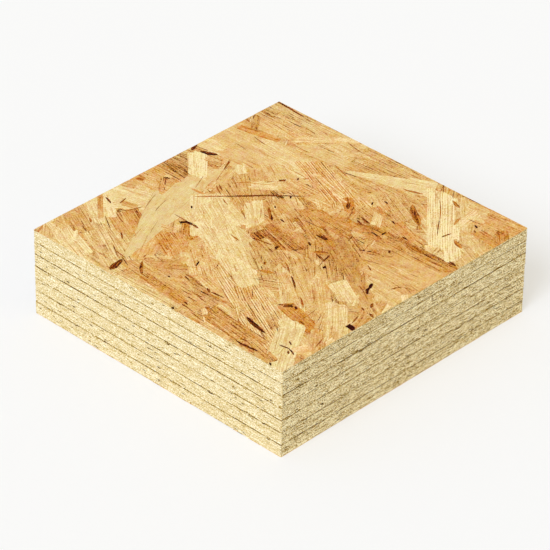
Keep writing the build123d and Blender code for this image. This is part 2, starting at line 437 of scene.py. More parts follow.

# %% [markdown]
# ## The strands that the photograph shows
#
# These are the strands of the top face that the eye picks out, read off the photograph.
# Each line gives where a strand starts and ends, in mm to the right of and below the left corner of the face
# as it is seen from above, then its width, or its widths if it tapers, its tone, how strongly its fibre lines
# show and its tint. Later strands lie on top of earlier ones.

# %% Strands of the top face
TOP_STRANDS = (
    # upper left, steep pale strands
    ((-2, 16), (18, -4), 14, "straw", 0.4, -0.5),
    ((1, 104), (4, 24), 12, "straw", 0.6, -1.0),
    ((3, 62), (24, 0), 19, "pale", 0.5, -1.2),
    ((8, 36), (24, 0), 15, "pale", 0.4, -0.7),
    ((22, 14), (33, -4), 12, "straw", 0.4, 0.3),
    ((9, 98), (46, 10), 18, "straw", 0.6, -0.6),
    ((31, 34), (48, -4), 20, "honey", 0.5, 0.2),
    ((20, 92), (54, 20), 15, "straw", 0.6, -0.9),
    ((32, 100), (58, 30), 12, "straw", 0.6, -0.6),
    # top edge
    ((84, -6), (108, 64), 28, "pale", 0.2, -1.4),
    ((50, 34), (72, -6), 15, "pale", 0.4, -1.0),
    ((104, -4), (112, 12), 9, "honey", 0.4, 0.0),
    ((132, -6), (133, 36), 34, "honey", 0.4, 1.0),
    ((124, 8), (128, 34), 16, "straw", 0.4, 0.4),
    ((170, -6), (172, 24), 22, "amber", 0.5, -1.0),
    ((157, -5), (154, 32), 12, "orange", 0.5, 0.2),
    ((121, 32), (138, 17), 6, "amber", 0.5, 0.9),
    ((56, 64), (70, 32), 21, "honey", 0.4, 1.0),
    ((69, 60), (81, 34), 14, "amber", 0.4, 1.2),
    ((62, 34), (82, 2), 9, "cream", 0.4, -0.8),
    ((68, 12), (86, 36), 7, "cream", 0.3, -0.8),
    ((82, 22), (88, 38), 7, "honey", 0.3, 0.5),
    ((53, 28), (82, -4), 5, "honey", 0.3, 0.8),
    # the light smooth strands of the upper right
    ((205, -8), (213, 112), 32, "straw", 0.1, 0.0),
    ((203, -8), (206, 24), 22, "pale", 0.2, -0.4),
    ((234, -8), (231, 106), 34, "straw", 0.2, -0.3),
    ((236, 40), (233, 104), 24, "pale", 0.2, -0.4),
    ((188, 2), (192, 36), 11, "honey", 0.5, 0.4),
    ((262, 60), (268, 118), 22, "straw", 0.2, -0.2),
    ((264, 90), (267, 118), 19, "straw", 0.2, -0.6),
    ((292, -6), (291, 104), 19, "honey", 0.6, -1.4),
    ((276, -6), (278, 66), 16, "straw", 0.5, 0.3),
    ((277, -6), (277, 15), 15, "amber", 0.5, -0.6),
    ((292, 42), (290, 84), 16, "straw", 0.4, -1.0),
    ((244, 4), (252, 48), (10, 7), "honey", 0.4, 2.4),
    ((249, 19), (270, 3), 6, "orange", 0.4, 0.4),
    ((262, 68), (266, 14), 11, "straw", 0.4, 0.5),
    ((280, 116), (284, 172), 26, "amber", 0.5, -0.4),
    ((284, 64), (286, 114), 27, "straw", 0.4, -0.4),
    # middle right
    ((150, 120), (182, 56), 28, "honey", 0.5, 0.3),
    ((166, 110), (202, 66), 22, "honey", 0.4, 0.4),
    ((158, 62), (188, 50), 13, "straw", 0.3, 0.0),
    ((199, 112), (218, 70), 19, "straw", 0.3, -0.2),
    ((257, 116), (260, 210), 25, "honey", 0.4, -0.1),
    ((210, 164), (206, 100), 17, "straw", 0.5, 0.9),
    ((189, 64), (200, 51), 9, "pale", 0.2, -1.3),
    ((183, 81), (198, 101), 13, "pale", 0.3, -0.2),
    ((246, 92), (218, 164), 27, "straw", 0.9, 1.6),
    ((236, 108), (224, 156), 7, "pale", 0.7, 1.2),
    ((247, 122), (229, 184), 6, "straw", 0.7, 0.2),
    ((292, 110), (296, 190), 18, "honey", 0.5, -0.4),
    ((263, 57), (302, 98), 9, "pale", 0.3, 0.3),
    # left, heartwood
    ((3, 92), (5, 176), 13, "straw", 0.8, -1.0),
    ((34, 98), (64, 82), 18, "straw", 0.3, 1.5),
    ((36, 101), (29, 192), 42, "honey", 0.4, 0.4),
    ((38, 158), (39, 190), 13, "amber", 0.6, 0.2),
    ((14, 172), (19, 116), 10, "amber", 0.5, 1.4),
    ((36, 110), (59, 138), 12, "amber", 0.3, 0.7),
    ((46, 192), (57, 142), 17, "straw", 0.4, 1.0),
    ((62, 116), (77, 84), 24, "honey", 0.4, 1.9),
    ((88, 108), (100, 84), 9, "amber", 0.5, 2.0),
    ((54, 154), (77, 121), 23, "straw", 0.6, 0.5),
    ((56, 132), (69, 117), 10, "straw", 0.3, -0.3),
    ((40, 98), (54, 116), 4, "straw", 0.3, 0.0),
    # middle
    ((126, 170), (133, 138), 16, "orange", 0.5, 1.5),
    ((140, 178), (158, 128), 17, "honey", 0.5, 1.0),
    ((139, 182), (149, 136), 10, "orange", 0.4, 1.0),
    ((156, 152), (177, 110), 13, "honey", 0.5, 0.6),
    ((160, 196), (184, 138), 20, "amber", 0.5, 1.0),
    ((186, 198), (191, 138), 16, "amber", 0.4, 1.2),
    ((172, 146), (182, 116), 10, "honey", 0.3, 0.2),
    ((110, 186), (124, 148), 18, "amber", 0.5, 0.0),
    ((90, 196), (112, 160), 15, "amber", 0.5, -1.0),
    ((132, 206), (152, 184), 12, "amber", 0.5, 0.6),
    ((184, 138), (195, 116), 12, "straw", 0.3, 0.4),
    ((198, 170), (201, 222), 12, "amber", 0.4, 1.7),
    ((140, 130), (164, 102), 17, "pale", 0.2, -0.8),
    ((24, 274), (82, 150), 32, "straw", 0.9, 0.3),
    ((55, 206), (70, 183), 16, "honey", 0.9, 1.3),
    # the wide pale sweep and the long pale strand
    ((128, 120), (146, 66), 24, "pale", 0.3, -0.9),
    ((96, 58), (176, 38), 24, "straw", 0.1, -0.7),
    ((26, 87), (116, 50), (3, 40), "straw", 0.0, -2.4),
    ((98, 60), (151, 42), (34, 24), "straw", 0.0, -2.0),
    ((158, 40), (188, 9), 17, "cream", 0.3, -1.2),
    ((98, 112), (145, 67), 30, "pale", 0.3, -1.2),
    ((71, 193), (130, 74), (20, 40), "pale", 0.4, -1.0),
    # lower left
    ((102, 236), (132, 192), 22, "honey", 0.4, 0.0),
    ((112, 240), (138, 208), 16, "honey", 0.4, -0.3),
    ((84, 242), (110, 198), 19, "straw", 0.4, 0.1),
    ((86, 304), (130, 284), 16, "honey", 0.4, 0.2),
    ((86, 262), (124, 218), 18, "straw", 0.4, 0.0),
    ((63, 273), (72, 231), 15, "amber", 0.3, 1.9),
    ((112, 268), (126, 240), 17, "pale", 0.3, -0.8),
    ((60, 304), (104, 262), 18, "pale", 0.4, -0.8),
    ((38, 302), (66, 277), 8, "honey", 0.5, 0.8),
    ((-4, 298), (59, 255), 24, "pale", 0.3, -1.9),
    ((2, 190), (3, 236), 9, "straw", 0.5, 0.0),
    ((20, 196), (12, 262), 20, "amber", 0.6, 0.9),
    ((15, 246), (6, 284), 11, "amber", 0.6, 0.6),
    ((41, 252), (50, 234), 8, "honey", 0.7, -0.2),
    ((56, 304), (76, 287), 10, "straw", 0.4, 0.0),
    # lower middle
    ((140, 304), (146, 256), 18, "straw", 0.4, -0.4),
    ((182, 224), (184, 308), 54, "honey", 0.2, 0.5),
    ((184, 258), (187, 306), 22, "straw", 0.2, 0.4),
    ((163, 240), (165, 298), 19, "straw", 0.3, 0.1),
    ((157, 304), (160, 280), 14, "honey", 0.4, 0.2),
    ((180, 226), (190, 246), 12, "amber", 0.4, 0.4),
    ((110, 302), (125, 275), 14, "honey", 0.5, 0.2),
    ((142, 246), (122, 284), (14, 12), "amber", 0.15, -0.2),
    ((171, 192), (140, 250), (26, 11), "orange", 0.15, 0.0),
    # lower right
    ((226, 178), (214, 252), 20, "honey", 0.5, 0.9),
    ((238, 218), (256, 178), 24, "honey", 0.5, 0.0),
    ((206, 207), (228, 193), 9, "pale", 0.3, -0.2),
    ((205, 224), (207, 300), 14, "amber", 0.4, 1.0),
    ((209, 200), (212, 294), 6, "orange", 0.6, 0.8),
    ((286, 236), (292, 306), 28, "honey", 0.4, 1.1),
    ((286, 222), (290, 262), 20, "straw", 0.3, -0.6),
    ((234, 302), (250, 266), 24, "straw", 0.4, -0.8),
    ((250, 264), (294, 224), 20, "straw", 0.4, -0.8),
    ((263, 302), (267, 272), 11, "amber", 0.3, 1.7),
    ((270, 299), (283, 286), 11, "amber", 0.4, 1.4),
    ((261, 256), (290, 251), 11, "pale", 0.4, 0.2),
    ((218, 288), (262, 246), 15, "cream", 0.5, -1.6),
    ((257, 126), (290, 202), (4, 27), "pale", 0.2, -1.3),
    ((224, 268), (292, 206), 24, "cream", 0.8, -1.0),
    ((219, 243), (229, 213), 10, "honey", 0.4, 1.9),
    ((211, 174), (227, 156), 9, "amber", 0.3, 2.4),
)

# %% [markdown]
# ## Bark, cracks and splinters
#
# Strips of bark, resin pockets and the shadows under lifted strands are the darkest marks on the face.
# They are what the eye uses to recognise one board from the next, so they are listed one by one too. Each
# entry gives where a mark starts and ends, in the same measure, then its width and its tone.

# %% Dark marks of the top face
TOP_MARKS = (
    ((4, 92), (23, 87), 7.5, "scorched"), ((7, 92), (14, 91), 3.0, "bark"),
    ((97, 80.6), (101.6, 84.6), 3.6, "bark"), ((100.6, 82), (102.4, 92.6), 4.2, "bark"),
    ((102.2, 90), (101.4, 99), 2.8, "scorched"), ((59.5, 139.5), (67, 135.5), 1.8, "bark"),
    ((119.3, 72.3), (122.6, 69), 1.8, "bark"), ((132, 58), (172, 98), 2.4, "brown"),
    ((150, 76), (205, 131), 2.8, "scorched"), ((184, 111), (189, 117), 2.4, "bark"),
    ((191, 122), (194.5, 119), 2.0, "bark"),
    ((171, 67), (187, 80), 1.6, "brown"), ((194, 87), (201, 92), 1.6, "brown"),
    ((205, 94), (209, 98), 3.4, "scorched"), ((216, 105), (220.5, 103), 2.0, "scorched"),
    ((221.5, 106), (226, 111), 2.4, "brown"), ((37, 222), (30.8, 251), 5.0, "scorched"),
    ((36, 223), (34.5, 240), 1.8, "bark"), ((32.3, 234), (31, 249), 1.8, "bark"),
    ((6.3, 240), (8.8, 265), 3.0, "scorched"), ((26.8, 269.5), (29, 281), 2.2, "scorched"),
    ((29, 279), (25.3, 289), 2.0, "scorched"), ((23, 285), (26.5, 281), 2.2, "scorched"),
    ((37, 272), (33.8, 277.5), 1.8, "scorched"), ((118, 187), (107, 204), 1.8, "brown"),
    ((106, 206), (94, 223), 2.0, "scorched"), ((89, 233), (79, 247), 2.2, "brown"),
    ((86.9, 289.4), (86.7, 298.6), 5.6, "bark"), ((131.0, 270.6), (137.2, 264.8), 3.4, "bark"),
    ((133.6, 266.4), (142.6, 265.4), 3.2, "bark"), ((139.0, 266.6), (146.2, 262.0), 3.4, "bark"),
    ((125.2, 168), (130.2, 166.8), 2.8, "bark"), ((133.2, 217.7), (137, 217), 2.8, "bark"),
    ((160.4, 144.4), (161.6, 138.2), 2.3, "bark"), ((1, 171.6), (3.6, 168.8), 2.2, "bark"),
    ((1.2, 286), (4, 281.8), 2.2, "bark"), ((123.6, 142), (125.6, 149.5), 3.0, "scorched"),
    ((32, 135.2), (33.2, 133), 1.7, "bark"), ((160, 206), (169, 178), 8.0, "orange"),
    ((165.5, 177), (167.4, 190), 4.6, "scorched"),
    ((214, 169), (223, 161), 3.6, "scorched"), ((202.6, 207), (201.3, 217), 2.3, "bark"),
    ((205, 217.4), (211.5, 216.8), 2.1, "bark"), ((238.5, 231.5), (259.5, 203), 7.5, "brown"),
    ((240, 229.5), (253, 211), 3.0, "scorched"), ((271.5, 180), (278.5, 199), 3.4, "brown"),
    ((238.5, 255.8), (250, 258.2), 2.2, "scorched"), ((271, 268), (273.6, 263), 2.4, "bark"),
    ((264.5, 272), (266.8, 268.6), 1.8, "scorched"), ((285, 230.5), (287.6, 228), 2.2, "scorched"),
    ((233.6, 179), (238.2, 176), 2.0, "bark"), ((244.6, 187.6), (245.8, 182), 2.2, "scorched"),
    ((225.6, 214), (227.4, 208), 2.2, "scorched"), ((215.2, 238), (216, 231), 2.8, "scorched"),
    ((211, 228), (212.4, 218), 3.0, "brown"), ((208, 262), (210.4, 240), 5.0, "brown"),
    ((214.8, 294.5), (216.4, 285.5), 2.8, "scorched"), ((174.6, 219), (177.6, 225), 2.0, "scorched"),
    ((177.6, 225.6), (181.4, 228.6), 1.8, "scorched"), ((180.6, 230), (183.2, 236), 2.0, "brown"),
    ((189, 241.4), (193, 238), 2.2, "scorched"), ((165.4, 230), (172.6, 250), 1.6, "brown"),
    ((158.8, 249), (163.6, 240.4), 1.6, "brown"), ((73, 27), (77.6, 36), 1.8, "brown"),
    ((76.6, 34.6), (92, 40.4), 1.9, "brown"), ((80.4, 22.4), (91.4, 19.6), 1.6, "brown"),
    ((75.4, 17), (79.2, 6), 2.4, "scorched"), ((42.4, 27.4), (47, 20), 2.2, "brown"),
    ((61.4, 49), (69.4, 30), 1.7, "brown"), ((43.4, 65), (50.6, 56), 2.2, "brown"),
    ((26, 88), (28.2, 71), 1.7, "brown"), ((15, 80), (16.6, 49), 1.4, "amber"),
    ((43.4, 169), (39.8, 176), 2.8, "scorched"), ((41.2, 175), (43, 190), 2.4, "scorched"),
    ((38, 177), (39.2, 190), 1.7, "brown"), ((40.6, 151), (42.8, 143), 1.8, "scorched"),
    ((14.2, 176), (15.6, 170), 1.8, "scorched"), ((11, 176.5), (11.8, 171), 1.6, "brown"),
    ((8.8, 184), (7, 199), 1.4, "brown"), ((136.6, 18.6), (139.6, 24.6), 2.6, "scorched"),
    ((140.8, 29), (141.8, 24.6), 2.0, "brown"), ((182, 48), (198.6, 38.8), 1.9, "scorched"),
    ((187, 46), (198, 40.8), 1.6, "brown"), ((152.8, 75), (160.6, 60.6), 1.6, "brown"),
    ((157.6, 71), (163.4, 61), 1.8, "brown"), ((141.4, 49), (143.4, 64), 3.6, "amber"),
    ((145.4, 91), (149.6, 80), 1.5, "brown"), ((112.8, 138), (114.8, 125), 1.9, "brown"),
    ((255.8, 6), (258.2, 0.4), 1.9, "scorched"), ((298.4, -1), (296.6, 36), 2.8, "scorched"),
    ((273.5, 1), (273.8, 20), 1.6, "brown"), ((276.8, 2), (276.4, 19), 1.5, "brown"),
    ((150.2, 186), (153.6, 180.2), 2.4, "scorched"), ((145, 194), (153, 205), 6.0, "orange"),
    ((144.8, 198), (141.4, 212), 3.0, "scorched"), ((174.4, 152), (176.4, 180), 1.6, "brown"),
    ((205.8, 194), (207.4, 186), 2.4, "scorched"), ((211, 198), (213, 187), 2.8, "scorched"),
    ((102, 179), (105.6, 175.4), 2.4, "brown"), ((61.8, 265), (63.4, 258.6), 2.8, "scorched"),
    ((69.4, 233), (75.6, 238.6), 4.2, "scorched"), ((68, 229), (71, 231.4), 2.0, "scorched"),
    ((73.6, 244.4), (76, 240.6), 2.2, "scorched"), ((118.6, 286.6), (125, 283), 3.0, "scorched"),
    ((111.8, 285.4), (114, 280.6), 2.0, "scorched"), ((109.6, 298), (112.4, 291), 2.8, "scorched"),
    ((189.4, 10), (196.8, 26.6), 5.6, "scorched"), ((185, 4.4), (197, -1), 4.4, "scorched"),
    ((-2, 6.0), (10, 1.0), 2.2, "orange"), ((155, 135), (168.6, 117.4), 3.8, "brown"),
    ((155, 135), (160, 129), 2.0, "scorched"), ((170.8, 123.6), (173.6, 120), 2.0, "scorched"),
    ((44, 294), (61, 288.6), 1.7, "brown"), ((91, 291), (104, 287), 1.6, "brown"),
    ((22, 166), (23, 178), 1.5, "brown"), ((26, 157), (27, 168), 1.6, "brown"),
    ((30, 168), (30.5, 177), 1.8, "brown"), ((36, 168), (37, 179), 1.8, "scorched"),
    ((17.5, 117), (33, 101), 3.4, "brown"), ((93, 180), (99, 194), 5.0, "orange"),
    ((238, 252), (258, 236), 1.3, "brown"), ((257, 237), (282, 214), 1.2, "brown"),
    ((150, 279), (160, 284), 1.9, "brown"), ((160, 284), (162.6, 296), 1.8, "brown"),
    ((284, 236), (289, 223), 4.0, "brown"), ((260, 251), (274, 247), 3.0, "orange"),
    ((238, 280), (243, 267), 5.0, "orange"), ((252, 131), (258, 110), 1.8, "brown"),
    ((125, 143), (128.5, 163), 2.4, "brown"),
)
print("hand-laid strands and marks:", len(TOP_STRANDS), len(TOP_MARKS))

# %% [markdown]
# ## Laying a face
#
# The readings drift a little on their way down the face, which `on_face` puts right. Under the listed strands
# lie many more, scattered at random with a fixed seed, so every gap shows wood.
# About half of the strands get a painted shadow where they stand off the one below: a darker copy, a little
# aside, is laid first. Chips and thin splinters follow the strands they lie on.

# %% Lay the strands of a face
FACE_SIDE = 300.0
DRIFT = (-0.0065, 0.005)  # mm to the right and down, for each mm down the face
BED_STRIPS = 12
BED_REACH = 165.0  # mm up and down from the middle, past both ends of the face
BED_OVERLAP = 1.3
LOOSE_STRANDS = 200
LOOSE_HALVES = (28, 62)  # mm, half the length of the shortest and of the longest
LOOSE_WIDTHS = (9, 26)  # mm
LOOSE_ANGLE = (62, 38)  # degrees, mean and spread
LOOSE_TONE = (0.66, 0.11)  # mean and spread
LOOSE_LIMITS = (0.36, 0.92)  # of the tone
DEEPEST = 0.42  # mm below the pressed face
PILE = 0.36  # mm from the lowest strand to the highest
SHADOWED = 0.5  # share of the strands that get a painted shadow line
SHADOW_ASIDE = 0.9  # mm
SHADOW_DARKER = (0.06, 0.26)  # by the least and the most
CHIPS = 150
SPLINTERS = 330
SPLINTER_TONES = (-0.42, -0.28, -0.18, -0.12, 0.14)  # added to the tone of the strand below
DARKEST = 0.22  # no chip or splinter has a darker tone
MARK_LOOK = (0.3, 1.5)  # line strength and tint of a dark mark
TOP_SEED = 7

def heading(angle):
    """The way that lies at an angle on the face."""
    return np.array((math.cos(angle), math.sin(angle)))

def anywhere(rng, reach):
    """A random point that lies no further than that from the middle, right or left and up or down."""
    return np.array((rng.uniform(-reach, reach), rng.uniform(-reach, reach)))

def on_face(point):
    """A point measured in mm from the face's left corner, as x and y about its middle."""
    right, down = point
    return (right + DRIFT[0] * down - FACE_SIDE / 2, FACE_SIDE / 2 - down - DRIFT[1] * down)

def scatter_loose(rng, count):
    """A bed that covers the whole face, and strands scattered over it, most of them honey or straw."""
    strands, step = [], FACE_SIDE / BED_STRIPS
    for strip in range(BED_STRIPS):
        x = (strip + 0.5) * step - FACE_SIDE / 2
        strands.append((np.array((x, -BED_REACH)), np.array((x, BED_REACH)), step * BED_OVERLAP,
                        rng.uniform(0.4, 0.65), 0.8, 0.0))
    darkest, lightest = LOOSE_LIMITS
    for _ in range(count):
        middle = anywhere(rng, 0.52) * FACE_SIDE
        angle = math.radians(rng.gauss(*LOOSE_ANGLE))
        half = heading(angle) * rng.uniform(*LOOSE_HALVES)
        width = rng.uniform(*LOOSE_WIDTHS)
        level = min(lightest, max(darkest, rng.gauss(*LOOSE_TONE)))
        strands.append((middle - half, middle + half, width, level, rng.uniform(0.2, 0.7), rng.gauss(0, 0.7)))
    return strands

def lay_face(seed, placed=(), marks=()):
    """All the strands of one face, lowest first."""
    plan = scatter_loose(random.Random(seed), LOOSE_STRANDS)
    rng = random.Random(seed + 100)
    for start, end, width, tone, streak, tint in placed:
        level = TONES[tone][0] + rng.uniform(-0.03, 0.03)
        plan.append((on_face(start), on_face(end), width, level, streak, tint))
    layers = []
    for number, (start, end, width, level, streak, tint) in enumerate(plan):
        sink = DEEPEST - PILE * number / len(plan) - rng.uniform(0, 0.02)
        strand = lay_strand(rng, start, end, width, level, streak, tint, sink)
        if rng.random() < SHADOWED:
            # a darker, warmer copy laid a little aside first: a painted shadow under the strand's edge
            aside = anywhere(rng, SHADOW_ASIDE)
            layers.append(strand._replace(outline=[p + aside for p in strand.outline], sink=sink + 0.012,
                                          tone=level - rng.uniform(*SHADOW_DARKER), tint=tint + 0.4))
        layers.append(strand)
    laid = list(layers)
    rng = random.Random(seed + 200)
    for number in range(CHIPS + SPLINTERS):
        middle = anywhere(rng, 0.5) * FACE_SIDE
        below = top_layer(laid, middle)
        chip = number < CHIPS
        lay = lay_strand if chip else lay_spindle
        astray, longest = (16, 9) if chip else (5, 14)  # degrees off the grain, and half the length in mm
        angle = math.atan2(below.along[1], below.along[0]) + math.radians(rng.gauss(0, astray))
        half = heading(angle) * rng.uniform(3, longest)
        width = rng.uniform(2.0, 6.0) if chip else rng.uniform(0.5, 1.2)
        level = below.tone + (rng.gauss(0, 0.10) if chip else rng.choice(SPLINTER_TONES))
        tint = below.tint + (rng.gauss(0, 0.6) if chip else 0.5)
        layers.append(lay(rng, middle - half, middle + half, width, max(level, DARKEST), below.streak, tint,
                          rng.uniform(0.02, 0.05)))
    for start, end, width, tone in marks:
        level = 1.1 * TONES[tone][0] - 0.05  # darker than its name, as grain and dust lighten a dark tone
        stub = width > 0.45 * math.dist(start, end)
        lay = lay_strand if stub else lay_spindle
        layers.append(lay(rng, on_face(start), on_face(end), width, level, *MARK_LOOK,
                          DEEPEST - rng.uniform(0.01, 0.06)))
    return layers

top_layers = lay_face(TOP_SEED, TOP_STRANDS, TOP_MARKS)
print("outlines on the top face:", len(top_layers))

# %% [markdown]
# ## The board's outline
#
# The saw runs round a square whose corners are only just broken. The outline is walked once,
# counter-clockwise as seen from above, in steps of about a millimetre, so a gap between strands can open
# anywhere along it. The walk starts with the side on the right of the photograph, at the front corner.

# %% Walk round the outline
CORNER = 0.8  # mm, radius of the broken corners
SIDE_STEPS = 240
CORNER_STEPS = 3

def walk_outline(side):
    """Points round a square with broken corners, the way out at each, and the side each belongs to."""
    points, ways_out, sides = [], [], []
    reach = side / 2 - CORNER
    for quarter in range(4):
        out = heading(math.radians(90 * quarter - 90))
        along = np.array((-out[1], out[0]))
        for step in range(SIDE_STEPS + 1):
            points.append(out * side / 2 + along * reach * (2 * step / SIDE_STEPS - 1))
            ways_out.append(out)
        for step in range(1, CORNER_STEPS):
            turn = math.pi / 2 * step / CORNER_STEPS
            way = out * math.cos(turn) + along * math.sin(turn)
            points.append((out + along) * reach + way * CORNER)
            ways_out.append(way)
        sides += [quarter] * (SIDE_STEPS + CORNER_STEPS)
    return np.array(points), np.array(ways_out), np.array(sides)

outline, ways_out, side_of = walk_outline(FACE_SIDE)
columns = len(outline)
steps = np.hypot(*(np.roll(outline, -1, axis=0) - outline).T)
walked = np.concatenate(((0,), np.cumsum(steps)))
print("points round a board:", columns, "over", round(walked[-1]), "mm")

# %% [markdown]
# ## A skin of faces
#
# Each board becomes one closed mesh. Its faces are collected with what the materials need to know: which
# finish, the tone and line strength of the strand, where the face lies along the grain, and its own place on
# a flat map of the board, so the colours can be painted onto it without overlaps.

# %% Collect faces
finishes = (pressed, sawn)
PRESSED, SAWN = range(len(finishes))

class Skin:
    """The points and faces of one board, in mm about the middle of its underside."""

    def __init__(self):
        self.points = []
        self.faces = []
        self.finish = []
        self.strand = []
        self.grain = []
        self.flat = []

    def add_points(self, places):
        """Keeps new points and returns the number of the first."""
        first = len(self.points)
        self.points.extend(map(tuple, places))
        return first

    def add_face(self, corners, finish, strand, grain, flat):
        """Keeps one face with its corners' places along the grain and on the flat map."""
        self.faces.append(corners)
        self.finish.append(finish)
        self.strand.extend([strand] * len(corners))
        self.grain.extend(grain)
        self.flat.extend(flat)

print("finishes:", ", ".join(finish.name for finish in finishes))

# %% [markdown]
# ## The sawn edge
#
# Through 12 mm of board the saw meets about fourteen layers of strands. Each layer wavers in height, because
# the mat was never quite even, and is broken into lengths where one strand ends and the next begins.
# Here and there two strands bridge a hollow: the layers part in a lens and a dark pit opens behind. The pits
# that the photograph shows clearly are listed. It shows the same ones on both sides.
# At the top and bottom the edge turns into a rubbed arris, so two stacked boards meet in a fine slit. The
# arris rows get a darker tone, painted shade in that slit.

# %% Build the sawn edge
EDGE_LAYERS = 14
LAYER_WAVER = 0.30  # mm that the line between two layers rises and falls
WAVES = ((14, 30, 0.45), (35, 70, 0.35), (120, 240, 0.2))  # fewest and most round a board, share of the waver
TORN = 0.70  # mm, how far in the saw tore a strand
TORN_LENGTHS = (4, 18)  # mm, shortest and longest
ROUGH = 0.10  # mm, how far in it tore one bundle of fibres more than the next
LAYER_LENGTHS = (8, 60)  # mm, of the strands in a layer
PIT_LENGTHS = (10, 60)  # mm over which the pits are alike
JOINT_LENGTHS = (3, 40)  # mm over which a rubbed arris is alike
EDGE_TONE = 0.70  # of a clean cut
LAYER_SPREAD = 0.045  # of the tone from strand to strand
PIT_SHADE_TONE = (0.16, 0.05)  # mean and spread of the dark tone in the pits, painted shade on top of their real depth
JOINT_SHADE_TONE = (0.32, 0.12)  # the same for the rubbed arrises, kept dark as painted shade in the slit between boards
# the next four each hold a value for the two sides cut along the grain, on the right of the photograph and
# opposite, and one for the two cut across it; part of each difference is painted light and shade, for how the
# lamp falls on each side
SIDE_PAINTED_LIGHT = (0.01, -0.01)  # added to the tone: painted light on the sides cut along the grain, painted shade on the others
GRAIN_AND_SHADING_SHOWS = (1.9, 0.75)  # strength of the grain and of a strand's own tone, higher on the sides cut along the grain, partly as painted light and shade of the relief
JOINT_SHOWS = (1.3, 1.0)  # the same on the rubbed arrises
PIT_SHOWS = (1.6, 1.35)  # and in the pits
ARRIS = 0.45  # mm, height of the rubbed arris
ARRIS_BEND = 0.25  # mm from the face, where the arris turns from steep to flat
ARRIS_STEEP = 0.2  # share of its way in that it has gone by then
SLIT = 1.1  # mm, how far in the arris runs at the face
SLIT_WAVER = 0.9  # mm
SLIT_LEAST = 0.35  # mm
FACE_RIM = 0.45  # mm, the strands of a pressed face stand on a rim this far down
SKIN_ROW = 0.85  # mm, top of the sawn layers under a pressed face
MAP_SHIFT = 900  # mm, so no two strands show the same part of a pattern
STRIP_ACROSS = (0.01, 0.98)  # where a side starts on its strip of the flat map, and its share of the strip
STRIP_UP = (0.04, 0.92)  # the same from the bottom of the strip
HOLLOWS = 24  # in each board, besides those listed
HOLLOW_OPENS = (0.12, 0.42)  # mm, half the height of its mouth
HOLLOW_DEPTH = (0.7, 2.2)  # mm
MARK_DEPTH = 1.8  # mm
MARK_LEAST = 0.05  # mm, half the height of its mouth near the ends
MARK_CLEAR = 0.6  # mm, from its mouth to the arris
THINNEST = 0.03  # mm, a layer that a mark presses aside
EDGE_MARKS = (  # mm from the left end and the top of a side of the stack, length and height
    (84, 3, 4, 0.9), (121, 2.3, 4, 0.9), (159, 1.9, 4, 0.9), (184, 2.3, 3, 1.0), (233, 7.6, 5, 0.9),
    (19, 18, 4, 0.8), (61, 18.4, 4, 1.0), (82, 23.3, 5, 0.7), (93, 25.4, 7, 1.3), (103, 24.6, 8, 1.2),
    (128, 18.5, 3, 0.7), (214, 16.8, 8, 1.2), (264, 20, 6, 0.7), (6, 20.4, 3, 0.9), (40, 35, 4, 1.6),
    (17, 39, 4, 0.8), (122, 41.2, 5, 1.1), (164, 38.8, 5, 1.7), (207, 27, 5, 0.8), (285, 36.8, 3, 1.4),
    (274, 41.6, 4, 1.0), (53, 47, 3, 1.3), (140, 46, 4, 0.8), (158, 45.6, 5, 0.8), (173, 44.4, 3.5, 1.6),
    (233, 43.6, 4, 1.0), (276, 47.6, 3, 1.0), (47.5, 57, 4, 1.7), (141, 55, 10, 1.1), (245, 53, 3, 1.2),
    (252.5, 55.4, 4, 1.6), (240, 51.6, 3, 1.0), (29, 62.8, 3.5, 1.5), (69, 66.2, 5, 1.5), (153, 68.4, 5, 1.6),
    (152, 60.6, 5, 0.9), (215, 62.6, 9, 1.3), (261, 63.9, 5, 0.9), (277, 62.4, 4, 1.1), (28, 70.8, 8, 0.8),
    (52, 74.6, 6, 0.7), (7, 79.6, 3, 1.5), (69, 83.6, 5, 1.3), (78, 85, 8, 1.0), (156, 82.2, 4, 1.2),
    (186, 80.4, 4, 0.9), (257, 84.4, 4, 1.2), (286, 75.8, 5, 1.1), (138, 80.6, 5, 0.8), (230, 83, 3, 0.8),
)

def marks_of(number, thickness):
    """The marks on one board: how far round it and how high each lies, then its length and height, in mm."""
    marks = []
    turned = number == 1  # this board is built upside down
    for along, down, length, tall in EDGE_MARKS:
        height = thickness * (len(panels) - number + 1) - down
        if not 0 < height < thickness:
            continue
        height = thickness - height if turned else height
        for way in (FACE_SIDE - along, 2 * FACE_SIDE - along) if turned else (along, 3 * FACE_SIDE + along):
            marks.append((way, height, length, tall))
    return marks

def waver(rng, size):
    """A height that wavers round the board and ends where it began, in mm."""
    total = np.zeros(columns)
    counts = [rng.randint(fewest, most) for fewest, most, _ in WAVES]
    for periods, (_, _, part) in zip(counts, WAVES):
        total += part * np.sin(2 * math.pi * (periods * walked[:-1] / walked[-1] + rng.random()))
    return total * size

def cut_lengths(rng, shortest, longest):
    """Breaks the way round the board into lengths, and gives the number of its length for each step."""
    breaks, at = [], 0.0
    while at < walked[-1]:
        at += rng.uniform(shortest, longest)
        breaks.append(at)
    return np.searchsorted(breaks, walked[:-1]), len(breaks) + 1

def flat_edge(side, way, height, thickness, strips):
    """Where a point of the edge lies on the flat map: a strip for each side, bottom to top."""
    base, tall = strips
    share = way / (walked[-1] / 4) - side
    across = STRIP_ACROSS[0] + STRIP_ACROSS[1] * share
    return across, base + tall * (side + STRIP_UP[0] + STRIP_UP[1] * height / thickness)

